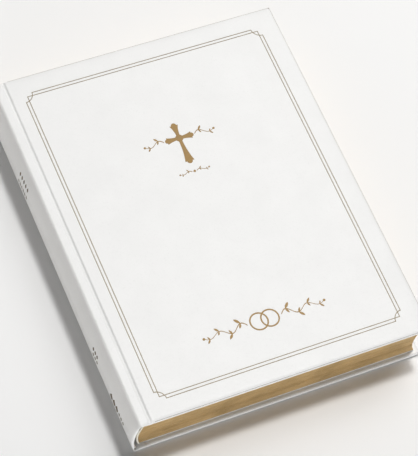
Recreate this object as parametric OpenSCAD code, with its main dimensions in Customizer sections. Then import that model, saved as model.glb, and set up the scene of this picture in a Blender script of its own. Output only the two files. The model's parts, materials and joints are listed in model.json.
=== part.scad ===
// A large case-bound bible in white leather: two hinged covers, a rounded
// hollow spine, a sewn block of folded sections and gilt cover ornaments.
// The closed book lies on its back cover, X from spine to fore-edge, Y towards the head.

/* [Cover] */
// Height of the covers along the spine
cover_h = 286; // [240:1:320]
// Width of a cover from the spine corner to the fore-edge
cover_w = 222; // [180:1:250]
// Thickness of a finished cover
cover_t = 3.2; // [2.8:0.1:4]
// Thickness of the leather
leather_t = 0.5; // [0.4:0.05:0.7]
// Width of the leather turned in over the board's inner face
turn_in = 15; // [12:1:20]

/* [Closed book] */
// Thickness of the closed book over both covers
book_t = 42; // [41:0.5:46]
// How far the covers stand past the pages at head and tail
square = 3.5; // [2:0.5:5]
// How far the covers stand past the pages at the fore-edge
fore_square = 4; // [3:0.5:6]
// Sections sewn into each half of the block
half_sections = 12; // [12]

/* [Spine and joints] */
// Thickness of the spine piece
spine_t = 2.4; // [2:0.1:2.6]
// How far the rounded spine bulges
spine_sag = 3; // [2:0.25:3]
// Distance from the inner face of the spine to the cover board
joint_w = 9.6; // [9:0.2:11]
// Depth of the pressed groove between spine and board
groove_depth = 1.4; // [0.8:0.1:1.6]
// Width of the pressed groove
groove_w = 5.4; // [4:0.2:6]

/* [Gilding] */
// Distance from the cover's head and fore-edge to the outer rule
rule_margin = 14.8; // [10:0.2:18]
// Distance from the cover's tail to the outer rule
rule_tail_margin = 13.6; // [10:0.2:18]
// Distance from the spine corner to the outer rule
rule_spine_margin = 18.7; // [16:0.1:24]
// Distance between the two rules
rule_gap = 2.5; // [1.6:0.1:3]
// Width of a rule
rule_w = 0.55; // [0.4:0.05:1]
// Radius of the notch in the outer rule's corners
notch_r = 6.8; // [5:0.2:9]

/* [Hidden] */
$fn = 96;
tiny = 0.01;
foil_t = 0.08;
// paper and cloth layers
paper_t = 0.3;
slip = 0.2;
cloth_t = 0.25;
tube_wall = 0.22;
tube_void = 0.35;
glue_t = 0.05;
thread_t = 0.5;
mid_gap = 0.4;
// heights of the joints: the rounded spine clears the table when it rolls flat
table_gap = 0.2;
end_gap = 0.3;
hinge_z = spine_t / 2 + spine_sag + table_gap;
hinge_gap = spine_t / 2 + end_gap;
strip_z = hinge_z - table_gap;
spine_z0 = hinge_z + hinge_gap;
spine_z1 = book_t - spine_z0;
mid_z = book_t / 2;
// arcs of the spine share one centre
chord = spine_z1 - spine_z0;
spine_r = (chord * chord / 4 + spine_sag * spine_sag) / (2 * spine_sag);
arc_x = spine_r - spine_t - spine_sag;
inner_r = spine_r - spine_t;
mull_r = inner_r - 2 * tube_wall - tube_void - 2 * glue_t;
tape_r = mull_r - cloth_t;
thread_r = tape_r - cloth_t - 3 * glue_t;
block_r = thread_r - thread_t - glue_t;
// covers
fore_x = cover_w - spine_t;
half_h = cover_h / 2;
// height against the usual cover: everything placed along the spine keeps its share
tall = cover_h / 286;
block_half_h = half_h - square;
// the text block's levels
pastedown_z = cover_t;
flyleaf_z = pastedown_z + paper_t + slip;
block_z = flyleaf_z + paper_t + slip;
section_t = (mid_z - mid_gap / 2 - block_z) / half_sections;
section_w = fore_x - fore_square - block_x(block_z + section_t / 2);
leaf_x = joint_w - 1.2;
flange_w = 25;
flange_half_h = 115 * tall;
tape_w = 12;
tape_y = tall * [-96, -32, 32, 96];
kettle_y = 130 * tall;
band_t = 2.2;
band_gap = 0.1;
tube_l = 2 * block_half_h - 8;
// the middle of the closed book's width is the origin
x_mid = (fore_x - spine_t - spine_sag - foil_t) / 2;
// the cover panel inside the rules
rule_x0 = rule_spine_margin - spine_t;
rule_x1 = fore_x - rule_margin;
panel_x = (rule_x0 + rule_x1) / 2;
rule_half_w = (rule_x1 - rule_x0) / 2;
rule_half_h = half_h - (rule_margin + rule_tail_margin) / 2;
// places of the rules and ornaments along the cover
rules_y = (rule_tail_margin - rule_margin) / 2;
cross_y = 58 * tall;
flourish_y = 29 * tall;
rings_y = -97 * tall;
// rows of lozenges on the spine: middle, height over mid-spine, count, pitch, half length, half height
spine_rows = [
    [67, 7, 5, 3.6, 1.1, 2.8], [67.5, -3.5, 6, 3, 0.95, 2.8],
    [-74, 2.5, 3, 3.4, 1.4, 2.4], [-75, -4, 3, 3.4, 1.4, 2.4],
    [-110.5, -4.5, 3, 5, 2.4, 4.8], [-123.5, -4.5, 3, 3.5, 1.3, 2.4]
];

white = "#f3f2ef";
spine_white = "#e9e7e2";
board_grey = "#9c9488";
page_cream = "#efe6cf";
gilt = "#b8923f";
cloth_white = "#dcd8cc";
kraft_brown = "#c8a878";

// Where the arc of the text block's spine lies at a height
function block_x(z) = arc_x - sqrt(block_r * block_r - (z - mid_z) * (z - mid_z));

// Depth of the pressed groove at a place across the joint
function groove(x) =
    let (u = 1 - (joint_w - x) / groove_w)
    u <= 0 || u >= 1 ? 0 : groove_depth * (1 - cos(360 * u)) / 2;

// Everything is drawn with X = 0 at the spine's inner face, then centred
module place() { translate([-x_mid, 0, 0]) children(); }

// The front half mirrors the back half
module to_front() { translate([0, 0, book_t]) mirror([0, 0, 1]) children(); }

// A block given by its lowest and highest corners
module block(from, to) { translate(from) cube(to - from); }

// An outline in X and Z drawn out along the book's height
module along(length) { rotate([90, 0, 0]) linear_extrude(length, center = true) children(); }

// A curved layer of the spine between two radii, heights z0 to z1, centred at y
module layer(outer_r, inner_r, z0, z1, length, y = 0) {
    translate([0, y, 0]) along(length) intersection() {
        translate([arc_x, mid_z]) difference() {
            circle(outer_r, $fn = 360);
            circle(inner_r, $fn = 360);
        }
        translate([arc_x - spine_r - 5, z0]) square([spine_r, z1 - z0]);
    }
}

// ---- covers, drawn for the back of the book ----

// A leather skin folded round the board's three free edges
module cover_skin() {
    difference() {
        block([joint_w, -half_h, 0], [fore_x, half_h, cover_t]);
        block([joint_w - 1, -half_h + leather_t, leather_t],
              [fore_x - leather_t, half_h - leather_t, cover_t - leather_t]);
        block([joint_w - 1, -half_h + turn_in, leather_t],
              [fore_x - turn_in, half_h - turn_in, cover_t + 1]);
    }
}

// The leather from the spine corner across the groove, to a place x_end
module joint_strip(x_end) {
    corner_r = 2;
    steps = 12;
    step = (x_end - joint_w + groove_w) / steps;
    run = [for (i = [0:steps]) x_end - i * step];
    outside = concat(
        [[-spine_t, strip_z]],
        [for (a = [180:15:270]) [corner_r - spine_t + corner_r * cos(a), corner_r + corner_r * sin(a)]],
        [for (i = [steps:-1:0]) [run[i], groove(run[i])]]
    );
    inside_r = corner_r - leather_t;
    inside = concat(
        [for (x = run) [x, groove(x) + leather_t]],
        [for (a = [270:-15:180]) [corner_r - spine_t + inside_r * cos(a), corner_r + inside_r * sin(a)]],
        [[leather_t - spine_t, strip_z]]
    );
    along(cover_h) polygon(concat(outside, inside));
}

module cover_board() {
    block([joint_w, -half_h + leather_t, leather_t],
          [fore_x - leather_t, half_h - leather_t, cover_t - leather_t]);
}

module cover_infill() {
    difference() {
        block([joint_w, -half_h + turn_in, cover_t - leather_t],
              [fore_x - turn_in, half_h - turn_in, cover_t]);
        block([joint_w - 1, -flange_half_h, 0], [joint_w + flange_w, flange_half_h, cover_t + 1]);
    }
}

module cover_super() {
    block([joint_w, -flange_half_h, cover_t - leather_t], [joint_w + flange_w, flange_half_h, cover_t]);
}

module cover_pastedown() {
    block([joint_w, -block_half_h, pastedown_z], [fore_x - fore_square, block_half_h, pastedown_z + paper_t]);
}

module flyleaf(x_start) {
    block([x_start, -block_half_h, flyleaf_z], [fore_x - fore_square, block_half_h, flyleaf_z + paper_t]);
}

// Short stitches that run up the backs of the sections
module half_thread() {
    stations = concat([-kettle_y, kettle_y], [for (y = tape_y, side = [-1, 1]) y + side * (tape_w / 2 + 1)]);
    for (y = stations)
        layer(thread_r, thread_r - thread_t, block_z + 0.3, mid_z - mid_gap / 2, thread_t, y);
}

// ---- text block ----

// A folded section, counted from the table up
module section(level) {
    z = block_z + (level + 0.5) * section_t;
    fold_r = (section_t - tiny) / 2;
    x = block_x(z);
    along(2 * block_half_h) union() {
        translate([x + fold_r, z]) circle(fold_r, $fn = 32);
        translate([x + fold_r, z - fold_r]) square([section_w - fold_r, 2 * fold_r]);
    }
}

// Sections are numbered from the title page down, so the first is on top
module numbered_section(number) {
    color(page_cream) place()
        if (number <= half_sections) to_front() section(number - 1);
        else section(2 * half_sections - number);
}

// ---- gilding ----

// A rectangle with its corners cut by circles about its own corners
module notched(half_w, half_hh, corner_w, corner_h, r) {
    difference() {
        square([2 * half_w, 2 * half_hh], center = true);
        for (sx = [-1, 1], sy = [-1, 1]) translate([sx * corner_w, sy * corner_h]) circle(r);
    }
}

module rule_outlines() {
    difference() {
        notched(rule_half_w, rule_half_h, rule_half_w, rule_half_h, notch_r);
        notched(rule_half_w - rule_w, rule_half_h - rule_w, rule_half_w, rule_half_h, notch_r + rule_w);
    }
    difference() {
        square([2 * (rule_half_w - rule_gap), 2 * (rule_half_h - rule_gap)], center = true);
        square([2 * (rule_half_w - rule_gap - rule_w), 2 * (rule_half_h - rule_gap - rule_w)], center = true);
    }
}

// A stem that waves about its line, with its thickness and height tapering
function stem_y(u, rise, waves) = rise * (1 - 0.55 * u) * sin(360 * waves * u);

module stem(length, rise, waves, stem_w) {
    steps = ceil(14 * waves);
    function half(u) = stem_w * (1 - 0.6 * u) / 2;
    polygon(concat(
        [for (i = [0:steps]) let (u = i / steps) [u * length, stem_y(u, rise, waves) + half(u)]],
        [for (i = [steps:-1:0]) let (u = i / steps) [u * length, stem_y(u, rise, waves) - half(u)]]
    ));
}

// A pointed leaf from the origin along +X
module leaf(length, leaf_w) {
    leaf_r = (length * length / 4 + leaf_w * leaf_w / 4) / leaf_w;
    intersection() {
        translate([length / 2, leaf_r - leaf_w / 2]) circle(leaf_r);
        translate([length / 2, leaf_w / 2 - leaf_r]) circle(leaf_r);
    }
}

// A leafy vine along +X: a leaf on every crest, pointing outwards and away
module vine(length, rise, waves, stem_w, leaf_l) {
    stem(length, rise, waves, stem_w);
    for (i = [0:2 * waves - 1]) {
        u = (i + 0.5) / (2 * waves);
        side = i % 2 == 0 ? 1 : -1;
        size = leaf_l * (1 - 0.45 * u);
        translate([u * length, stem_y(u, rise, waves)]) rotate(side * 48) leaf(size, size * 0.36);
        translate([u * length, stem_y(u, rise, waves)]) rotate(-side * 62) leaf(size * 0.75, size * 0.27);
    }
    translate([length, 0]) circle(stem_w * 1.1, $fn = 24);
}

module both_sides() {
    children();
    mirror([1, 0]) children();
}

// One flared arm of the cross, pointing up
module arm(length, root_w, tip_w) {
    steps = 8;
    spread = (tip_w - root_w) / 2;
    flare = [for (i = [0:steps]) let (u = i / steps) [root_w / 2 + spread * pow(u, 2.5), u * length]];
    polygon(concat([for (i = [0:steps]) [-flare[i][0], flare[i][1]]], [for (i = [steps:-1:0]) flare[i]]));
    translate([0, length]) circle(tip_w * 0.3, $fn = 24);
}

module cross_outline() {
    root_w = 2.5;
    side_l = 9.5;
    arm(11, root_w, 6.5);
    rotate(90) arm(side_l, root_w, 5.6);
    rotate(-90) arm(side_l, root_w, 5.6);
    rotate(180) arm(20, root_w, 7);
    circle(2.9);
}

module side_vines() {
    both_sides() translate([12, 0]) vine(15, 2.6, 1, 0.8, 4.6);
}

module flourish_outline() {
    both_sides() translate([1.8, 0]) vine(9.5, 1.1, 1, 0.6, 2.6);
    rotate(45) square(1.7, center = true);
}

module rings_outline() {
    ring_r = 7;
    ring_w = 1.1;
    both_sides() translate([4.2, 0]) difference() {
        circle(ring_r);
        circle(ring_r - ring_w);
    }
    both_sides() translate([13, 0]) vine(33, 3.2, 2, 0.9, 6);
}

module on_front(y) {
    color(gilt) place() translate([panel_x, y, book_t]) linear_extrude(foil_t) children();
}

// A lozenge on the spine, cut from the foil layer
module spine_lozenge(y, rise, half_l, half_z) {
    intersection() {
        layer(spine_r + foil_t, spine_r, spine_z0, spine_z1, 2 * half_l, y);
        translate([-spine_t - spine_sag - 1, y, mid_z + rise]) rotate([0, 90, 0])
            linear_extrude(4) polygon([[-half_z, 0], [0, -half_l], [half_z, 0], [0, half_l]]);
    }
}

module spine_row(y, rise, count, pitch, half_l, half_z) {
    for (i = [0:count - 1]) spine_lozenge(y + (i - (count - 1) / 2) * pitch, rise, half_l, half_z);
}

// ---- sub-parts ----

module front_board() { color(board_grey) place() to_front() cover_board(); }
module front_infill() { color(page_cream) place() to_front() cover_infill(); }
module front_cover_leather() { color(white) place() to_front() cover_skin(); }
module front_super() { color(cloth_white) place() to_front() cover_super(); }
module front_pastedown() { color(page_cream) place() to_front() cover_pastedown(); }
module front_rules_foil() { on_front(rules_y) rule_outlines(); }
module front_cross_foil() { on_front(cross_y) { cross_outline(); side_vines(); } }
module front_flourish_foil() { on_front(flourish_y) flourish_outline(); }
module front_rings_foil() { on_front(rings_y) rings_outline(); }
module front_flyleaf() { color(page_cream) place() to_front() flyleaf(leaf_x); }
module front_joint_leather() { color(white) place() to_front() joint_strip(joint_w - 0.3); }
module front_sewing_thread() { color(cloth_white) place() to_front() half_thread(); }

module back_sewing_thread() { color(cloth_white) place() half_thread(); }
module back_flyleaf() { color(page_cream) place() flyleaf(joint_w / 2); }
module back_pastedown() { color(page_cream) place() cover_pastedown(); }
module back_super() { color(cloth_white) place() cover_super(); }
module back_infill() { color(page_cream) place() cover_infill(); }
module back_board() { color(board_grey) place() cover_board(); }
module back_cover_leather() {
    color(white) place() {
        cover_skin();
        joint_strip(joint_w);
    }
}

module spine_leather() {
    color(spine_white) place() difference() {
        layer(spine_r, inner_r, spine_z0, spine_z1, cover_h);
        layer(spine_r - leather_t, inner_r + leather_t, spine_z0 - 1, spine_z1 + 1, cover_h - 2 * leather_t);
        layer(spine_r - leather_t - tiny, inner_r - 1, spine_z0 - 1, spine_z1 + 1, cover_h - 2 * turn_in);
    }
}
module spine_board() {
    color(board_grey) place()
        layer(spine_r - leather_t, inner_r + leather_t, spine_z0, spine_z1, cover_h - 2 * leather_t);
}
module hollow_tube() {
    fold = 0.6;
    tube_z = spine_z0 + fold;
    void_z = tube_z + fold;
    outer_r = inner_r - glue_t;
    color(kraft_brown) place() difference() {
        layer(outer_r, mull_r + glue_t, tube_z, book_t - tube_z, tube_l);
        layer(outer_r - tube_wall, mull_r + glue_t + tube_wall, void_z, book_t - void_z, cover_h);
    }
}
module spine_mull() {
    color(cloth_white) place() layer(mull_r, mull_r - cloth_t, spine_z0, spine_z1, 2 * flange_half_h);
}
module sewing_tapes() {
    color(cloth_white) place() for (y = tape_y)
        layer(tape_r, tape_r - cloth_t, spine_z0, spine_z1, tape_w, y);
}
module end_band(y) {
    color(white) place()
        layer(block_r + 0.6, block_r + 0.6 - band_t, spine_z0 - end_gap, spine_z1 + end_gap, band_t, y);
}
module head_band() { end_band(block_half_h + band_gap + band_t / 2); }
module tail_band() { end_band(-block_half_h - band_gap - band_t / 2); }
module spine_foil() {
    color(gilt) place() for (r = spine_rows) spine_row(r[0] * tall, r[1], r[2], r[3], r[4], r[5]);
}

front_board();
front_infill();
front_cover_leather();
front_super();
front_pastedown();
front_rules_foil();
front_cross_foil();
front_flourish_foil();
front_rings_foil();
front_flyleaf();
front_joint_leather();
front_sewing_thread();
numbered_section(1);  // section_01
numbered_section(2);  // section_02
numbered_section(3);  // section_03
numbered_section(4);  // section_04
numbered_section(5);  // section_05
numbered_section(6);  // section_06
numbered_section(7);  // section_07
numbered_section(8);  // section_08
numbered_section(9);  // section_09
numbered_section(10);  // section_10
numbered_section(11);  // section_11
numbered_section(12);  // section_12
numbered_section(13);  // section_13
numbered_section(14);  // section_14
numbered_section(15);  // section_15
numbered_section(16);  // section_16
numbered_section(17);  // section_17
numbered_section(18);  // section_18
numbered_section(19);  // section_19
numbered_section(20);  // section_20
numbered_section(21);  // section_21
numbered_section(22);  // section_22
numbered_section(23);  // section_23
numbered_section(24);  // section_24
back_sewing_thread();
back_flyleaf();
back_pastedown();
back_super();
back_infill();
back_board();
back_cover_leather();
spine_leather();
spine_board();
hollow_tube();
spine_mull();
sewing_tapes();
head_band();
tail_band();
spine_foil();
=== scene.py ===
import json
import math
import random

import bmesh
import bpy
from mathutils import Matrix, Vector


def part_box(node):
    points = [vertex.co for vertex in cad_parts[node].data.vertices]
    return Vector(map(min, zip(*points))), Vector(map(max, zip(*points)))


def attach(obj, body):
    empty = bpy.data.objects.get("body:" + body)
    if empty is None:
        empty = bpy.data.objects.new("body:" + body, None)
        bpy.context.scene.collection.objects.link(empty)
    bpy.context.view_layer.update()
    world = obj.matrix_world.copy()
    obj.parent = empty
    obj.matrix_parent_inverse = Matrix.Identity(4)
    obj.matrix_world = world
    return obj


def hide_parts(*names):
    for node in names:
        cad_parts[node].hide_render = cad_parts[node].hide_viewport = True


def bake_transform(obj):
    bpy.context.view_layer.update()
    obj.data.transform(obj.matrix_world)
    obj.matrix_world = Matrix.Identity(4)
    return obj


# A closed white leather bible lying on its back cover, seen from above its spine and tail.
# X runs from the spine to the fore-edge, Y towards the head, Z up; lengths are in metres.

MM = 0.001
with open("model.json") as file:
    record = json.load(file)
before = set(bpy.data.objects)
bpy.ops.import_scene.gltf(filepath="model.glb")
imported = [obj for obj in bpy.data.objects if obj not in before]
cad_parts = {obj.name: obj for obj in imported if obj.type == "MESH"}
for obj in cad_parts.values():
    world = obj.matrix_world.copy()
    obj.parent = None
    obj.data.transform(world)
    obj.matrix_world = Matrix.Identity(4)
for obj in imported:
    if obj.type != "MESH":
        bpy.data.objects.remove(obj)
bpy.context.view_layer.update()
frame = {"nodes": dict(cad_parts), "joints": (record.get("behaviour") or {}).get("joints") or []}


# ---- sizes: places from the frame, then the finer measures of the pieces built here ----

def joint_at(name):
    """A joint's place in X and Z."""
    found = next(j for j in frame["joints"] if j["name"] == name)
    return found["pos_m"][0], found["pos_m"][2]


COVER_LO, COVER_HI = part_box("front_cover_leather")
BACK_LO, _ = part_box("back_cover_leather")
SPINE_LO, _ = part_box("spine_leather")
BLOCK_LO, BLOCK_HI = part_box("section_24")
MIDDLE_LO, MIDDLE_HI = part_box("section_12")
BOOK_T = COVER_HI.z
COVER_T = COVER_HI.z - COVER_LO.z
MID_Z = BOOK_T / 2
HALF_H = COVER_HI.y
BOARD_X = COVER_LO.x
FORE_X = COVER_HI.x
EDGE_X = BACK_LO.x
BLOCK_HALF_H = BLOCK_HI.y
BLOCK_Z = BLOCK_LO.z
SECTION_T = BLOCK_HI.z - BLOCK_LO.z
HINGE_X, HINGE_Z = joint_at("spine_roll")
SECTIONS = 12

LEATHER_T = 0.65 * MM
SHEET_T = 0.2 * MM
# thickness where the leather is turned in at head and tail: round the spine, and beside the board
HEM_T = 1.3 * MM
HEM_TOP = 2.8 * MM
SPINE_T = 2.4 * MM
STRIP_W = 5.4 * MM
GROOVE_X = BOARD_X - 3.3 * MM
GROOVE_HALF = 1.7 * MM
GROOVE_DEPTH = 0.65 * MM
CORNER_R = 2.0 * MM
TURN_IN = 15 * MM
# how a cover's outer face falls away near its free edges: distance from the edge and drop, in mm
EDGE_ROUNDING = ((9, 0), (5, 0.02), (2.6, 0.08), (1.5, 0.2), (0.8, 0.45), (0.3, 0.85), (0.04, 1.3), (0, 1.7))


# ---- mesh helpers ----

def finish_mesh(name, bm, smooth_angle=38):
    """Makes an object of a bmesh, with outward faces, smooth shading and flat-projected UVs in metres."""
    bmesh.ops.recalc_face_normals(bm, faces=bm.faces)
    for edge in bm.edges:
        edge.smooth = edge.is_manifold and edge.calc_face_angle(0) < math.radians(smooth_angle)
    layer = bm.loops.layers.uv.new("UVMap")
    for face in bm.faces:
        face.smooth = True
        normal = face.normal
        axis = max(range(3), key=lambda i: abs(normal[i]))
        a, b = [i for i in range(3) if i != axis]
        for loop in face.loops:
            loop[layer].uv = (loop.vert.co[a], loop.vert.co[b])
    mesh = bpy.data.meshes.new(name)
    bm.to_mesh(mesh)
    bm.free()
    obj = bpy.data.objects.new(name, mesh)
    bpy.context.scene.collection.objects.link(obj)
    return obj


def add_skin(bm, rings):
    """Adds a closed skin through rings of points that all have the same count."""
    verts = [[bm.verts.new(point) for point in ring] for ring in rings]
    count = len(rings[0])
    for low, high in zip(verts, verts[1:]):
        for i in range(count):
            j = (i + 1) % count
            bm.faces.new((low[i], low[j], high[j], high[i]))
    bm.faces.new(verts[0])
    bm.faces.new(verts[-1])


def loft(name, rings, smooth_angle=38):
    """An object of one closed skin through rings of points."""
    bm = bmesh.new()
    add_skin(bm, rings)
    return finish_mesh(name, bm, smooth_angle)


def steps(low, high, count):
    """Evenly spaced values from low to high, both included."""
    return [low + (high - low) * i / count for i in range(count + 1)]


# ---- materials ----

class Nodes:
    """A short way to write a material's node tree."""

    def __init__(self, name):
        self.material = bpy.data.materials.new(name)
        self.material.use_nodes = True
        self.tree = self.material.node_tree
        self.shader = self.tree.nodes["Principled BSDF"]
        self.uv = self.add("ShaderNodeTexCoord").outputs["UV"]
        self.object = self.uv.node.outputs["Object"]

    def add(self, kind, **values):
        node = self.tree.nodes.new(kind)
        for key, value in values.items():
            if hasattr(node, key):
                setattr(node, key, value)
            else:
                node.inputs[key.replace("_", " ")].default_value = value
        return node

    def join(self, source, target):
        self.tree.links.new(source, target)

    def scaled(self, source, scale):
        node = self.add("ShaderNodeMapping")
        node.inputs["Scale"].default_value = scale
        self.join(source, node.inputs["Vector"])
        return node.outputs["Vector"]

    def noise(self, source, scale, detail=3.0, rough=0.5):
        node = self.add("ShaderNodeTexNoise", Scale=scale, Detail=detail, Roughness=rough)
        self.join(source, node.inputs["Vector"])
        return node.outputs["Fac"]

    def cells(self, source, scale):
        node = self.add("ShaderNodeTexVoronoi", Scale=scale)
        self.join(source, node.inputs["Vector"])
        return node.outputs["Distance"]

    def range(self, source, low, high, to_low=0.0, to_high=1.0):
        node = self.add("ShaderNodeMapRange")
        limits = {"From Min": low, "From Max": high, "To Min": to_low, "To Max": to_high}
        for key, value in limits.items():
            node.inputs[key].default_value = value
        self.join(source, node.inputs["Value"])
        return node.outputs["Result"]

    def math(self, operation, a, b=None):
        node = self.add("ShaderNodeMath", operation=operation)
        for socket, value in zip(node.inputs, (a, b)):
            if isinstance(value, (int, float)):
                socket.default_value = value
            elif value is not None:
                self.join(value, socket)
        return node.outputs["Value"]

    def mix(self, factor, a, b):
        node = self.add("ShaderNodeMix", data_type="RGBA")
        self.join(factor, node.inputs["Factor"])
        for socket, value in ((node.inputs["A"], a), (node.inputs["B"], b)):
            if isinstance(value, tuple):
                socket.default_value = (*value, 1)
            else:
                self.join(value, socket)
        return node.outputs["Result"]

    def split(self, source):
        node = self.add("ShaderNodeSeparateXYZ")
        self.join(source, node.inputs["Vector"])
        return node.outputs

    def bump(self, height, distance, strength=1.0):
        node = self.add("ShaderNodeBump", Distance=distance, Strength=strength)
        self.join(height, node.inputs["Height"])
        self.join(node.outputs["Normal"], self.shader.inputs["Normal"])

    def set(self, **values):
        for key, value in values.items():
            socket = self.shader.inputs[key.replace("_", " ")]
            if isinstance(value, tuple):
                socket.default_value = (*value, 1)
            elif isinstance(value, (int, float)):
                socket.default_value = value
            else:
                self.join(value, socket)


def leather_material(name, base, shade):
    """Fine-grained bonded leather: small pebbles, pores and a faint mottle."""
    n = Nodes(name)
    pebbles = n.cells(n.uv, 1400)
    creases = n.noise(n.uv, 420, 4)
    mottle = n.noise(n.uv, 38, 3)
    grain = n.math("ADD", n.math("MULTIPLY", pebbles, 0.6), n.math("MULTIPLY", creases, 0.5))
    colour = n.mix(n.range(mottle, 0.3, 0.7), base, shade)
    in_pores = n.mix(n.range(grain, 0.62, 0.95, 0.0, 0.5), colour, tuple(0.93 * c for c in shade))
    n.set(Base_Color=in_pores, Roughness=n.range(grain, 0.2, 0.9, 0.4, 0.55))
    n.set(Specular_IOR_Level=0.45, Coat_Weight=0.12, Coat_Roughness=0.35)
    n.bump(grain, 0.00005, 0.35)
    return n.material


def gilt_material():
    """Gilt page edges: gold leaf over fine stacked leaves, rubbed a little."""
    n = Nodes("gilt_page_edges")
    leaves = n.noise(n.scaled(n.object, (18, 18, 9000)), 1, 2)
    patches = n.noise(n.object, 55, 4, 0.6)
    specks = n.noise(n.object, 900, 2)
    tone = n.math("ADD", n.math("MULTIPLY", leaves, 0.6), n.math("MULTIPLY", patches, 0.4))
    gold = n.mix(n.range(tone, 0.32, 0.68), (0.46, 0.31, 0.135), (0.78, 0.57, 0.29))
    rubbed = n.mix(n.range(specks, 0.62, 0.78, 0.0, 0.4), gold, (0.78, 0.66, 0.44))
    n.set(Base_Color=rubbed, Metallic=0.55, Roughness=n.range(tone, 0.3, 0.7, 0.36, 0.58))
    n.bump(leaves, 0.00008, 0.55)
    return n.material


def foil_material(name, base, shade):
    """Hot-stamped foil, slightly uneven where the leather's grain shows through."""
    n = Nodes(name)
    grain = n.cells(n.object, 1400)
    cloud = n.noise(n.object, 160, 3)
    n.set(Base_Color=n.mix(n.range(cloud, 0.35, 0.65), base, shade), Metallic=0.35)
    n.set(Roughness=n.range(cloud, 0.3, 0.7, 0.42, 0.58), Specular_IOR_Level=0.3)
    n.bump(grain, 0.00004, 0.3)
    return n.material


def clouded_paper(n, source, base, shade):
    """Adds the fibres of smooth paper to a material, and returns its faintly clouded colour."""
    fibre = n.noise(n.scaled(source, (700, 2400, 700)), 1, 4, 0.6)
    cloud = n.noise(source, 24, 3)
    n.set(Roughness=n.range(fibre, 0.3, 0.7, 0.7, 0.85))
    n.bump(fibre, 0.00002, 0.25)
    return n.mix(n.range(cloud, 0.35, 0.65), base, shade)


def paper_material(name, base, shade, bends=False):
    """Smooth paper; where the sheet bends, the pattern follows its surface."""
    n = Nodes(name)
    n.set(Base_Color=clouded_paper(n, n.uv if bends else n.object, base, shade))
    return n.material


def within(n, value, centre, half):
    """1 where a value is nearer to the centre than half, 0 elsewhere."""
    return n.math("LESS_THAN", n.math("ABSOLUTE", n.math("SUBTRACT", value, centre)), half)


def printed_bars(n, near, far):
    """The ink of two columns of plain bars between two margins, broken up like lines of words."""
    x, y, _ = n.split(n.uv)
    middle, quarter = (near + far) / 2, (far - near) / 4
    half_column = quarter - 3.5 * MM
    left = within(n, x, middle - quarter, half_column)
    right = within(n, x, middle + quarter, half_column)
    lines = n.math("DIVIDE", n.math("ADD", y, 1.0), 3.4 * MM)
    on_line = n.math("LESS_THAN", n.math("FRACT", lines), 0.42)
    words = n.add("ShaderNodeCombineXYZ")
    n.join(n.math("MULTIPLY", x, 260), words.inputs["X"])
    n.join(n.math("MULTIPLY", n.math("FLOOR", lines), 7.31), words.inputs["Y"])
    word = n.range(n.noise(words.outputs["Vector"], 1.0, 1), 0.40, 0.43)
    ink = n.math("MULTIPLY", n.math("MULTIPLY", on_line, word), n.math("ADD", left, right))
    inside = n.math("LESS_THAN", n.math("ABSOLUTE", y), BLOCK_HALF_H - 17 * MM)
    return n.math("MULTIPLY", n.math("MULTIPLY", ink, inside), 0.72)


def page_material(name, near, far):
    """Page paper printed with plain bars between two margins."""
    n = Nodes(name)
    paper = clouded_paper(n, n.uv, (0.86, 0.83, 0.75), (0.80, 0.77, 0.69))
    ink = printed_bars(n, near, far)
    n.set(Base_Color=n.mix(ink, paper, (0.20, 0.19, 0.18)))
    return n.material


def weave_material(name, base, shade, threads):
    """Plain-woven cloth with this many threads to the metre."""
    n = Nodes(name)
    x, y, z = n.split(n.object)
    turn = math.tau * threads / 2
    along = n.math("SINE", n.math("MULTIPLY", n.math("ADD", x, z), turn))
    across = n.math("SINE", n.math("MULTIPLY", y, turn))
    weave = n.math("MULTIPLY", along, across)
    fuzz = n.noise(n.object, 1500, 3)
    height = n.math("ADD", n.math("ABSOLUTE", weave), n.math("MULTIPLY", fuzz, 0.6))
    n.set(Base_Color=n.mix(n.range(height, 0.2, 1.2), shade, base), Roughness=0.85, Sheen_Weight=0.3)
    n.bump(height, 0.00006, 0.6)
    return n.material


def board_material():
    """Grey binder's board: flecked, rough and dull."""
    n = Nodes("grey_board")
    fleck = n.noise(n.object, 900, 5, 0.7)
    layers = n.noise(n.scaled(n.object, (30, 30, 2500)), 1, 3)
    tone = n.math("ADD", n.math("MULTIPLY", fleck, 0.6), n.math("MULTIPLY", layers, 0.4))
    grey = n.mix(n.range(tone, 0.35, 0.65), (0.33, 0.31, 0.27), (0.47, 0.44, 0.39))
    n.set(Base_Color=grey, Roughness=0.9)
    n.bump(tone, 0.00008, 0.6)
    return n.material


MATERIALS = {
    "leather": leather_material("white_leather", (0.82, 0.82, 0.815), (0.79, 0.79, 0.785)),
    "gilt": gilt_material(),
    "foil": foil_material("gold_foil", (0.17, 0.105, 0.035), (0.26, 0.165, 0.06)),
    "rule_foil": foil_material("fine_rule_foil", (0.15, 0.12, 0.075), (0.22, 0.18, 0.11)),
    # the spine's foil is the cover's foil with painted shade: made darker because the spine lies in shade
    "spine_foil": foil_material("spine_foil_painted_shade", (0.075, 0.045, 0.02), (0.13, 0.08, 0.035)),
    "endpaper": paper_material("endpaper", (0.84, 0.83, 0.79), (0.80, 0.79, 0.75)),
    "endpaper_uv": paper_material("endpaper_bent", (0.84, 0.83, 0.79), (0.80, 0.79, 0.75), bends=True),
    "page_paper": paper_material("page_paper", (0.82, 0.79, 0.71), (0.76, 0.73, 0.65), bends=True),
    "kraft": paper_material("kraft_paper", (0.46, 0.33, 0.2), (0.38, 0.27, 0.16)),
    "board": board_material(),
    "mull": weave_material("mull", (0.76, 0.73, 0.64), (0.45, 0.42, 0.34), 900),
    "tape": weave_material("cotton_tape", (0.82, 0.8, 0.74), (0.6, 0.57, 0.5), 2200),
    "thread": weave_material("waxed_thread", (0.8, 0.77, 0.68), (0.6, 0.56, 0.47), 3500),
    "silk": weave_material("band_silk", (0.86, 0.83, 0.74), (0.66, 0.6, 0.46), 2600),
}


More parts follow.
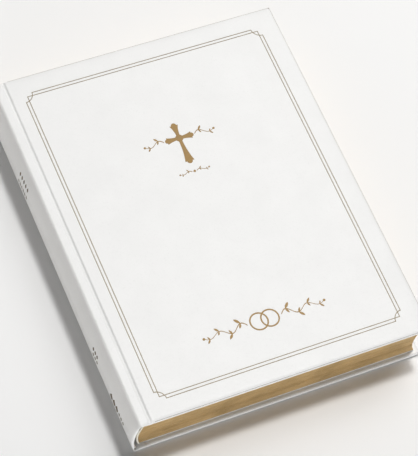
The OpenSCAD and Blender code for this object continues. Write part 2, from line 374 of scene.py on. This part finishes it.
def paint(obj, *names):
    """Gives an object its materials, by name, in slot order."""
    slots = obj.data.materials
    for i, name in enumerate(names):
        if i < len(slots):
            slots[i] = MATERIALS[name]
        else:
            slots.append(MATERIALS[name])


# ---- the leather over joints and spine ----

# the rounded spine is one arc that ends in the two rounded corners of the leather
ARC_END_Z = CORNER_R - 0.62 * MM
ARC_END_X = EDGE_X + 0.28 * MM
SPINE_RISE = MID_Z - ARC_END_Z
SPINE_SAG = ARC_END_X - SPINE_LO.x
ARC_R = (SPINE_RISE ** 2 + SPINE_SAG ** 2) / (2 * SPINE_SAG)
ARC_X = SPINE_LO.x + ARC_R + 0.03 * MM


def spine_x(z):
    """Where the outer face of the rounded spine lies at a height."""
    return ARC_X - math.sqrt(ARC_R ** 2 - (z - MID_Z) ** 2)


def groove(x):
    """Depth of the pressed groove beside the board."""
    u = min(1, abs(x - GROOVE_X) / GROOVE_HALF)
    return GROOVE_DEPTH * (0.5 + 0.5 * math.cos(math.pi * u))


def back_path():
    """Outer face of the leather, from the back board's edge round to the middle of the spine.

    Each point is X, Z, the leather's thickness there, and its thickness where it is turned in."""
    slope = math.asin(SPINE_RISE / ARC_R)
    corner_z = CORNER_R - CORNER_R * math.sin(slope)
    corner_x = spine_x(corner_z) + CORNER_R * math.cos(slope)
    strip_x = BOARD_X - STRIP_W
    path = [(x, groove(x), LEATHER_T, HEM_TOP - groove(x)) for x in steps(BOARD_X, strip_x, 20)]
    for x in steps(strip_x, corner_x, 8)[1:]:
        hem = HEM_T + (HEM_TOP - HEM_T) * (x - corner_x) / (strip_x - corner_x)
        path.append((x, 0.0, LEATHER_T, hem))
    for a in steps(math.radians(270), math.pi + slope, 9)[1:]:
        x, z = corner_x + CORNER_R * math.cos(a), CORNER_R + CORNER_R * math.sin(a)
        path.append((x, z, LEATHER_T, HEM_T))
    board_end = HINGE_Z + 1.2 * MM
    for z in steps(corner_z, MID_Z, 30)[1:]:
        filled = min(1.0, max(0.0, (z - board_end) / (1.0 * MM)))
        leather, hem = [thin + (SPINE_T - thin) * filled for thin in (LEATHER_T, HEM_T)]
        path.append((spine_x(z), z, leather, hem))
    return path


def normals(path):
    """Unit normals of a path in X and Z, to its right as it is walked, which is outwards here."""
    found = []
    for i in range(len(path)):
        a, b = path[max(i - 1, 0)], path[min(i + 1, len(path) - 1)]
        dx, dz = b[0] - a[0], b[1] - a[1]
        size = math.hypot(dx, dz)
        found.append((dz / size, -dx / size))
    return found


def strip_stations():
    """Places from tail to head along a leather strip: Y, share of the edge's drop, share of the fold."""
    full_drop = EDGE_ROUNDING[-1][1]
    tail = [(-HALF_H + inset * MM, drop / full_drop, 1) for inset, drop in reversed(EDGE_ROUNDING)]
    tail.append((-HALF_H + 0.97 * TURN_IN, 0, 1))
    tail += [(y, 0, 0) for y in steps(-HALF_H + 1.03 * TURN_IN, 0, 16)[:-1]]
    return tail + [(-y, drop, fold) for y, drop, fold in [(0, 0, 0), *reversed(tail)]]


def leather_strip(name, path, outward):
    """A strip of leather along a path, with rounded ends, and doubled where it is turned in."""
    sides = normals(path)
    rings = []
    for y, drop, fold in strip_stations():
        outer, inner = [], []
        for (x, z, thick, hemmed), (nx, nz) in zip(path, sides):
            nx, nz = outward * nx, outward * nz
            thick += (hemmed - thick) * fold
            cut = 0.52 * thick * drop
            depth = thick - 0.42 * thick * drop
            outer.append((x - nx * cut, y, z - nz * cut))
            inner.append((x - nx * depth, y, z - nz * depth))
        rings.append(outer + inner[::-1])
    obj = loft(name, rings, smooth_angle=50)
    paint(obj, "leather")
    return obj


def build_joints_and_spine():
    """Four strips of leather: the back joint, the spine's two halves and the front joint."""
    back = back_path()
    front = [(x, BOOK_T - z, *thick) for x, z, *thick in back]
    split = next(i for i, p in enumerate(back) if p[0] < BOARD_X - STRIP_W - 2 * MM)

    joint = leather_strip("back_joint", back[:split + 1], -1)
    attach(joint, "back_block")

    lower = leather_strip("spine_leather_lower", back[split:], -1)
    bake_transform(lower)

    upper = leather_strip("spine_leather_upper", front[split:], 1)
    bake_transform(upper)
    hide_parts("spine_leather")

    joint = leather_strip("front_joint", front[:split + 1], 1)
    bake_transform(joint)
    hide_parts("front_joint_leather")


def solid_boxes(obj):
    """The low and high corner of each separate solid in a mesh."""
    bm = bmesh.new()
    bm.from_mesh(obj.data)
    bm.transform(obj.matrix_world)
    bmesh.ops.remove_doubles(bm, verts=bm.verts, dist=1e-7)
    left = set(bm.verts)
    boxes = []
    while left:
        found, queue = [], [left.pop()]
        while queue:
            vert = queue.pop()
            found.append(vert.co.copy())
            near = {edge.other_vert(vert) for edge in vert.link_edges} & left
            left -= near
            queue += near
        boxes.append([Vector(pick(axis) for axis in zip(*found)) for pick in (min, max)])
    bm.free()
    return sorted(boxes, key=lambda box: tuple(box[0]))


def lozenge_rings(lo, hi):
    """Rings of one stamped lozenge on the rounded spine, as long and as high as this box."""
    raised, sunk = 0.05 * MM, 0.1 * MM
    middle, half = (lo + hi) / 2, (hi - lo) / 2
    rings = []
    for t in steps(-1, 1, 16):
        z = middle.z + t * half.z
        width = max(half.y * (1 - abs(t)), 0.02 * MM)
        ring = [(spine_x(z) - raised, middle.y + side * width, z) for side in (-1, -0.4, 0.4, 1)]
        ring += [(spine_x(z) + sunk, middle.y + side * width, z) for side in (1, -1)]
        rings.append(ring)
    return rings


def build_spine_marks():
    """The spine's stamped marks, each at the place and size of its CAD solid."""
    bm = bmesh.new()
    for lo, hi in solid_boxes(frame["nodes"]["spine_foil"]):
        add_skin(bm, lozenge_rings(lo, hi))
    marks = finish_mesh("spine_marks", bm)
    # painted shade: the spine's marks get the darker copy of the foil
    paint(marks, "spine_foil")
    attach(marks, "spine")
    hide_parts("spine_foil")


# ---- covers ----

def cover_outline(inset, corner_r):
    """The cover's outline in plan, drawn in by inset at its three free edges."""
    x1, y1 = FORE_X - inset, HALF_H - inset
    r = max(corner_r - inset, 0.15 * MM)
    points = [(BOARD_X, y) for y in steps(y1, -y1, 10)]
    points += [(x, -y1) for x in steps(BOARD_X, x1 - r, 12)[1:]]
    points += [(x1 - r + r * math.sin(a), -y1 + r - r * math.cos(a)) for a in steps(0, math.pi / 2, 6)[1:]]
    points += [(x1, y) for y in steps(-y1 + r, y1 - r, 12)[1:]]
    points += [(x1 - r + r * math.cos(a), y1 - r + r * math.sin(a)) for a in steps(0, math.pi / 2, 6)[1:]]
    points += [(x, y1) for x in steps(x1 - r, BOARD_X, 12)[1:-1]]
    return points


def cover_shell(name, body, node, mirrored):
    """The leather-wrapped board: rolled edges, and the border turned in on the inner face."""
    corner_r = 2.4 * MM
    step_z = 0.3 * MM
    # depths in the profile are for this thickness, in mm
    usual_t = 3.2
    inner_rounding = ((0.06, 2.1), (0.35, 2.55), (0.8, 2.9), (1.5, 3.12), (2.4, 3.2), (14.4, 3.2))
    profile = [(40, 0), *EDGE_ROUNDING, *inner_rounding]
    rings = []
    for inset, depth in profile:
        z = depth / usual_t * COVER_T
        rings.append([(x, y, z) for x, y in cover_outline(inset * MM, corner_r)])
    rings.append([(x, y, COVER_T - step_z) for x, y in cover_outline(TURN_IN, corner_r)])
    if mirrored:
        rings = [[(x, y, BOOK_T - z) for x, y, z in ring] for ring in rings]
    obj = loft(name, rings, smooth_angle=50)
    paint(obj, "leather")
    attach(obj, body)
    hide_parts(node)


def corner_fold(side, mirrored):
    """Rings of one low ridge, running inwards at 45 degrees from an outer corner of a cover."""
    raised, sunk = 0.16 * MM, -0.1 * MM
    corner = Vector((FORE_X - 1.6 * MM, side * (HALF_H - 1.6 * MM), COVER_T))
    inward = Vector((-1, -side, 0)).normalized()
    across = Vector((1, -side, 0)).normalized()
    rings = []
    for t in steps(0, 1, 10):
        middle = corner + inward * t * TURN_IN * 1.3
        width = 0.25 * MM + 1.3 * MM * math.sin(math.pi * min(1, 0.15 + t))
        ring = []
        for share, lift in ((-1, sunk), (-0.5, raised), (0.5, raised), (1, sunk)):
            x, y, z = middle + across * width * share + Vector((0, 0, lift))
            ring.append((x, y, BOOK_T - z if mirrored else z))
        rings.append(ring)
    return rings


def corner_tucks(name, body, mirrored):
    """The leather folded over itself at the two outer corners of a cover's inner face."""
    bm = bmesh.new()
    for side in (-1, 1):
        add_skin(bm, corner_fold(side, mirrored))
    obj = finish_mesh(name, bm, 60)
    paint(obj, "leather")
    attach(obj, body)


def pastedown(name, body, node, mirrored):
    """The pasted endpaper, with the step of the turned-in leather showing through it."""
    lo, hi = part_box("back_pastedown")
    ridge_x, ridge_y = FORE_X - TURN_IN, HALF_H - TURN_IN
    near, edge = 1 * MM, 0.3 * MM
    xs = [lo.x, *steps(lo.x + 4 * MM, ridge_x - near, 8), ridge_x, ridge_x + near, hi.x - edge, hi.x]
    tail_ys = [lo.y, lo.y + edge, -ridge_y - near, -ridge_y]
    head_ys = [ridge_y, ridge_y + near, hi.y - edge, hi.y]
    ys = tail_ys + steps(-ridge_y + near, ridge_y - near, 12) + head_ys

    def height(x, y):
        """Height of the paper's free face, which drops where no leather lies under it."""
        out = max(x - ridge_x, abs(y) - ridge_y)
        lift = min(1, max(0, (out + near) / (2 * near)))
        return hi.z - 0.12 * MM * (1 - lift)

    bm = bmesh.new()
    top = [[bm.verts.new((x, y, height(x, y))) for y in ys] for x in xs]
    low = [[bm.verts.new((x, y, lo.z - 0.02 * MM)) for y in ys] for x in xs]
    close_sheet(bm, top, low)
    if mirrored:
        for v in bm.verts:
            v.co.z = BOOK_T - v.co.z
    obj = finish_mesh(name, bm)
    paint(obj, "endpaper")
    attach(obj, body)
    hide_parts(node)


def close_sheet(bm, top, low):
    """Faces over two matching grids of vertices and round their edges."""
    rows, cols = len(top), len(top[0])
    for i in range(rows - 1):
        for j in range(cols - 1):
            bm.faces.new((top[i][j], top[i + 1][j], top[i + 1][j + 1], top[i][j + 1]))
            bm.faces.new((low[i][j], low[i][j + 1], low[i + 1][j + 1], low[i + 1][j]))
    for i in range(rows - 1):
        bm.faces.new((top[i][0], low[i][0], low[i + 1][0], top[i + 1][0]))
        bm.faces.new((top[i][-1], top[i + 1][-1], low[i + 1][-1], low[i][-1]))
    for j in range(cols - 1):
        bm.faces.new((top[0][j], top[0][j + 1], low[0][j + 1], low[0][j]))
        bm.faces.new((top[-1][j], low[-1][j], low[-1][j + 1], top[-1][j + 1]))


def build_covers():
    """Both covers: the wrapped boards, their corner folds and their pasted endpapers."""
    cover_shell("back_cover", "back_block", "back_cover_leather", False)
    cover_shell("front_cover_panel", "front_cover", "front_cover_leather", True)
    corner_tucks("back_corner_folds", "back_block", False)
    corner_tucks("front_corner_folds", "front_cover", True)
    pastedown("back_pastedown_sheet", "back_block", "back_pastedown", False)
    pastedown("front_pastedown_sheet", "front_cover", "front_pastedown", True)


# ---- text block ----

MID_X = MIDDLE_LO.x
SHOULDER_X = BLOCK_LO.x
BLOCK_RISE = (MIDDLE_LO.z + MIDDLE_HI.z) / 2 - (BLOCK_LO.z + BLOCK_HI.z) / 2
BLOCK_SAG = SHOULDER_X - MID_X
BLOCK_R = (BLOCK_RISE ** 2 + BLOCK_SAG ** 2) / (2 * BLOCK_SAG)
PAGE_W = BLOCK_HI.x - BLOCK_LO.x
BLOCK_TOP = MID_Z - 0.04 * MM
LEAVES = 7
# shares of a page's width and half height at which its grid has lines, close together at the gutter
GUTTER_XS = [0, 0.002, 0.006, 0.012, 0.02, 0.03, 0.042, 0.055, 0.07, 0.085, 0.1, 0.12, 0.14, 0.17, 0.2, 0.26]
PAGE_XS = [*GUTTER_XS, *steps(0.34, 0.98, 8), 1]
PAGE_YS = steps(-1, 1, 12)


def block_x(z):
    """Where the rounded back of the text block lies at a height."""
    rise = z - MID_Z
    return MID_X + BLOCK_R - math.sqrt(BLOCK_R ** 2 - rise ** 2)


def page_outline(z, proud, fold):
    """One leaf's outline: tail edge, fore-edge, head edge, then the folded back."""
    back = block_x(z) + fold
    front = block_x(z) + PAGE_W + proud
    half = BLOCK_HALF_H + proud
    along = [back + (front - back) * t for t in PAGE_XS]
    points = [(x, -half, z) for x in along]
    points += [(front, half * t, z) for t in PAGE_YS[1:]]
    points += [(x, half, z) for x in reversed(along[:-1])]
    points += [(back, half * t, z) for t in reversed(PAGE_YS[1:-1])]
    return points


def leaf_rings(seed):
    """Outlines of all the leaves of the lower half, each edge a hair in or out of the cut."""
    rng = random.Random(seed)
    rings = []
    pitch = (BLOCK_TOP - BLOCK_Z) / SECTIONS
    drift = 0.0
    for section in range(SECTIONS):
        drift = 0.6 * drift + rng.uniform(-0.05, 0.05) * MM
        for leaf in range(LEAVES):
            low = BLOCK_Z + section * pitch + leaf * pitch / LEAVES
            proud = drift + rng.uniform(-0.06, 0.05) * MM
            if leaf in (0, LEAVES - 1):
                proud -= 0.1 * MM
            for share in (0.06, 0.94):
                z = low + share * pitch / LEAVES
                u = (leaf + share) / LEAVES * 2 - 1
                fold = SECTION_T / 2 * (1 - math.sqrt(max(0, 1 - u * u)))
                rings.append(page_outline(z, proud, fold))
    return rings


def half_block(name, top, seed):
    """Half of the text block: folded leaves with gilt edges, its first and last pages printed."""
    bm = bmesh.new()
    verts = [[bm.verts.new(point) for point in ring] for ring in leaf_rings(seed)]
    count = len(verts[0])
    gilt_end = 2 * (len(PAGE_XS) - 1) + (len(PAGE_YS) - 1)
    for low, high in zip(verts, verts[1:]):
        for i in range(count):
            j = (i + 1) % count
            face = bm.faces.new((low[i], low[j], high[j], high[i]))
            face.material_index = 0 if i < gilt_end else 2
    fill_page(bm, verts[0])
    fill_page(bm, verts[-1])
    if top:
        for v in bm.verts:
            v.co.z = BOOK_T - v.co.z
    obj = finish_mesh(name, bm, 30)
    paint(obj, "gilt", "left_page" if top else "right_page", "page_paper")
    curve_with_spine(obj, top)
    return obj


def fill_page(bm, ring):
    """A grid of faces inside a leaf's outline."""
    nx, ny = len(PAGE_XS), len(PAGE_YS)
    fore_start = nx - 1
    head_start = fore_start + ny - 1
    tail = ring[:nx]
    fore = ring[fore_start:fore_start + ny]
    head = ring[head_start:head_start + nx][::-1]
    back = [ring[0], *ring[head_start + nx:][::-1], head[0]]
    grid = []
    for i in range(nx):
        column = []
        for j in range(ny):
            if i == 0:
                column.append(back[j])
            elif i == nx - 1:
                column.append(fore[j])
            elif j == 0:
                column.append(tail[i])
            elif j == ny - 1:
                column.append(head[i])
            else:
                a, b = tail[i].co, head[i].co
                column.append(bm.verts.new(a.lerp(b, (fore[j].co.y - a.y) / (b.y - a.y))))
        grid.append(column)
    for i in range(nx - 1):
        for j in range(ny - 1):
            face = bm.faces.new((grid[i][j], grid[i + 1][j], grid[i + 1][j + 1], grid[i][j + 1]))
            face.material_index = 1


def curve_with_spine(obj, top):
    """Bakes the object's placement into its mesh, the same way for either half."""
    if top:
        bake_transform(obj)
    else:
        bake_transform(obj)


def build_block():
    """Both halves of the text block and their sewing threads."""
    near, far = MID_X + 22 * MM, MID_X + PAGE_W - 11 * MM
    MATERIALS["left_page"] = page_material("printed_page_left", near, far)
    MATERIALS["right_page"] = page_material("printed_page_right", near, far)
    lower = half_block("pages_lower_half", False, 11)
    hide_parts(*[f"section_{i:02d}" for i in range(13, 25)])
    upper = half_block("pages_upper_half", True, 23)
    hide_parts(*[f"section_{i:02d}" for i in range(1, 13)])
    for node, top in (("front_sewing_thread", True), ("back_sewing_thread", False)):
        thread = copy_node(node, node.replace("_thread", "_stitches"))
        paint(thread, "thread")
        curve_with_spine(thread, top)
        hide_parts(node)


def copy_node(node, name):
    """A free copy of a CAD node's mesh, with UVs like the other pieces."""
    bm = bmesh.new()
    bm.from_mesh(frame["nodes"][node].data)
    for layer in list(bm.loops.layers.uv.values()):
        bm.loops.layers.uv.remove(layer)
    bmesh.ops.remove_doubles(bm, verts=bm.verts, dist=1e-7)
    return finish_mesh(name, bm)


# ---- endpapers ----

def endpaper_along(name, path):
    """A thin sheet that follows a path in X and Z, as high as the pages."""
    rings = []
    for y in steps(-BLOCK_HALF_H, BLOCK_HALF_H, 12):
        upper, lower = [], []
        for (x, z), (nx, nz) in zip(path, normals(path)):
            upper.append((x + nx * SHEET_T / 2, y, z + nz * SHEET_T / 2))
            lower.append((x - nx * SHEET_T / 2, y, z - nz * SHEET_T / 2))
        rings.append(upper + lower[::-1])
    obj = loft(name, rings)
    paint(obj, "endpaper_uv")
    return obj


def build_endpapers():
    """The front flyleaf, a flat sheet running out from the gutter, and the paper hinges of both pastedowns.
    """
    lo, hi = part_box("front_flyleaf")
    gutter = SHOULDER_X + 0.6 * MM
    z = (lo.z + hi.z) / 2
    curved, flat = steps(gutter, BOARD_X + 6 * MM, 24), steps(BOARD_X + 12 * MM, hi.x, 14)
    path = [(x, z) for x in curved + flat]
    leaf = endpaper_along("front_flyleaf_sheet", path)
    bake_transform(leaf)
    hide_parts("front_flyleaf")

    z = BOOK_T - COVER_T - 0.15 * MM
    path = [(x, z) for x in steps(gutter, BOARD_X + 0.1 * MM, 18)]
    hinge = endpaper_along("front_endpaper_hinge", path)
    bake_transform(hinge)

    low_path = [(x, BOOK_T - z) for x, z in path]
    hinge = endpaper_along("back_endpaper_hinge", low_path)
    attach(hinge, "back_block")


# ---- end bands ----

def end_band(name, node):
    """A silk end band: a twisted bead laid along the rounded back of the block."""
    lo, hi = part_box(node)
    y = (lo.y + hi.y) / 2
    z0, z1 = lo.z + 0.5 * MM, hi.z - 0.5 * MM
    turns = 26
    corners, count = 12, turns * 8
    rings = []
    for i in range(count + 1):
        z = z0 + (z1 - z0) * i / count
        x = block_x(z) + 0.35 * MM
        lump = 1 + 0.16 * abs(math.sin(math.pi * turns * i / count))
        taper = min(1, 0.55 + 6 * min(i, count - i) / count)
        r = 0.6 * MM * lump * taper
        angles = [math.tau * k / corners for k in range(corners)]
        rings.append([(x + r * math.cos(a), y + r * math.sin(a), z) for a in angles])
    obj = loft(name, rings, smooth_angle=70)
    paint(obj, "silk")
    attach(obj, "spine")
    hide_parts(node)


# ---- CAD nodes ----

def finish_cad_nodes():
    """Gives every CAD node a material; those that no piece replaces show it."""
    looks = {
        "rule_foil": ["front_rules_foil"],
        "foil": ["front_cross_foil", "front_flourish_foil", "front_rings_foil"],
        "spine_foil": ["spine_foil"],
        "board": ["front_board", "back_board", "spine_board"],
        "mull": ["front_super", "back_super", "spine_mull"],
        "tape": ["sewing_tapes"],
        "kraft": ["hollow_tube"],
    }
    for node, obj in frame["nodes"].items():
        if "leather" in node:
            paint(obj, "leather")
        elif "section" in node:
            paint(obj, "page_paper")
        else:
            paint(obj, "endpaper")
    for look, nodes in looks.items():
        for node in nodes:
            paint(frame["nodes"][node], look)


# ---- camera, floor and lights ----

def build_camera():
    """Looks down from the spine's tail corner, a little tilted."""
    azimuth, elevation, roll = math.radians(35.6), math.radians(60.2), math.radians(14.5)
    distance = 1.5837
    target = Vector((COVER_LO.x + 99.8 * MM, -7.2 * MM, 20 * MM))
    ahead_x = math.sin(azimuth) * math.cos(elevation)
    ahead_y = math.cos(azimuth) * math.cos(elevation)
    forward = Vector((ahead_x, ahead_y, -math.sin(elevation)))
    right = forward.cross(Vector((0, 0, 1))).normalized()
    up = right.cross(forward)
    tilted_right = right * math.cos(roll) + up * math.sin(roll)
    tilted_up = up * math.cos(roll) - right * math.sin(roll)
    data = bpy.data.cameras.new("camera")
    data.lens = 173.9
    data.sensor_width = 36
    camera = bpy.data.objects.new("camera", data)
    bpy.context.scene.collection.objects.link(camera)
    turn = Matrix((tilted_right, tilted_up, -forward)).transposed()
    camera.matrix_world = Matrix.Translation(target - forward * distance) @ turn.to_4x4()
    bpy.context.scene.camera = camera


def build_floor():
    """A plain pale floor with a very faint cloudiness."""
    half, z = 4.0, -0.1 * MM
    bm = bmesh.new()
    corners = ((-half, -half), (half, -half), (half, half), (-half, half))
    bm.faces.new([bm.verts.new((x, y, z)) for x, y in corners])
    floor = finish_mesh("floor", bm)
    n = Nodes("pale_floor")
    cloud = n.noise(n.object, 6, 3)
    n.set(Base_Color=n.mix(cloud, (0.885, 0.885, 0.885), (0.905, 0.905, 0.905)), Roughness=0.7)
    floor.data.materials.append(n.material)


def area_light(name, place, size, power, colour):
    """A soft light aimed at the middle of the floor."""
    data = bpy.data.lights.new(name, "AREA")
    data.shape = "RECTANGLE"
    data.size, data.size_y = size
    data.energy = power
    data.color = colour
    light = bpy.data.objects.new(name, data)
    light.location = place
    light.rotation_euler = (-Vector(place)).to_track_quat("-Z", "Y").to_euler()
    bpy.context.scene.collection.objects.link(light)


def build_lights():
    """A small key light for the shadow, a wide one overhead, and low ones at the tail and the spine."""
    world = bpy.data.worlds.new("studio")
    world.use_nodes = True
    background = world.node_tree.nodes["Background"]
    background.inputs["Color"].default_value = (1, 1, 1, 1)
    background.inputs["Strength"].default_value = 0.05
    bpy.context.scene.world = world
    neutral, cool, warm = (1.0, 0.995, 0.985), (0.99, 0.995, 1.0), (1.0, 0.88, 0.7)
    area_light("key", (0.9, 0.9, 3.9), (0.55, 0.55), 86, neutral)
    area_light("overhead", (1.5, 1.5, 2.4), (2.6, 2.6), 62, neutral)
    area_light("front", (-1.3, -3.4, 0.3), (2.6, 0.5), 88, cool)
    area_light("side", (-3.6, 0.3, 0.3), (2.6, 0.5), 9, warm)
    bpy.context.scene.view_settings.view_transform = "Standard"


build_camera()
build_floor()
build_lights()
build_joints_and_spine()
build_spine_marks()
build_covers()
build_block()
build_endpapers()
end_band("head_band_silk", "head_band")
end_band("tail_band_silk", "tail_band")
finish_cad_nodes()
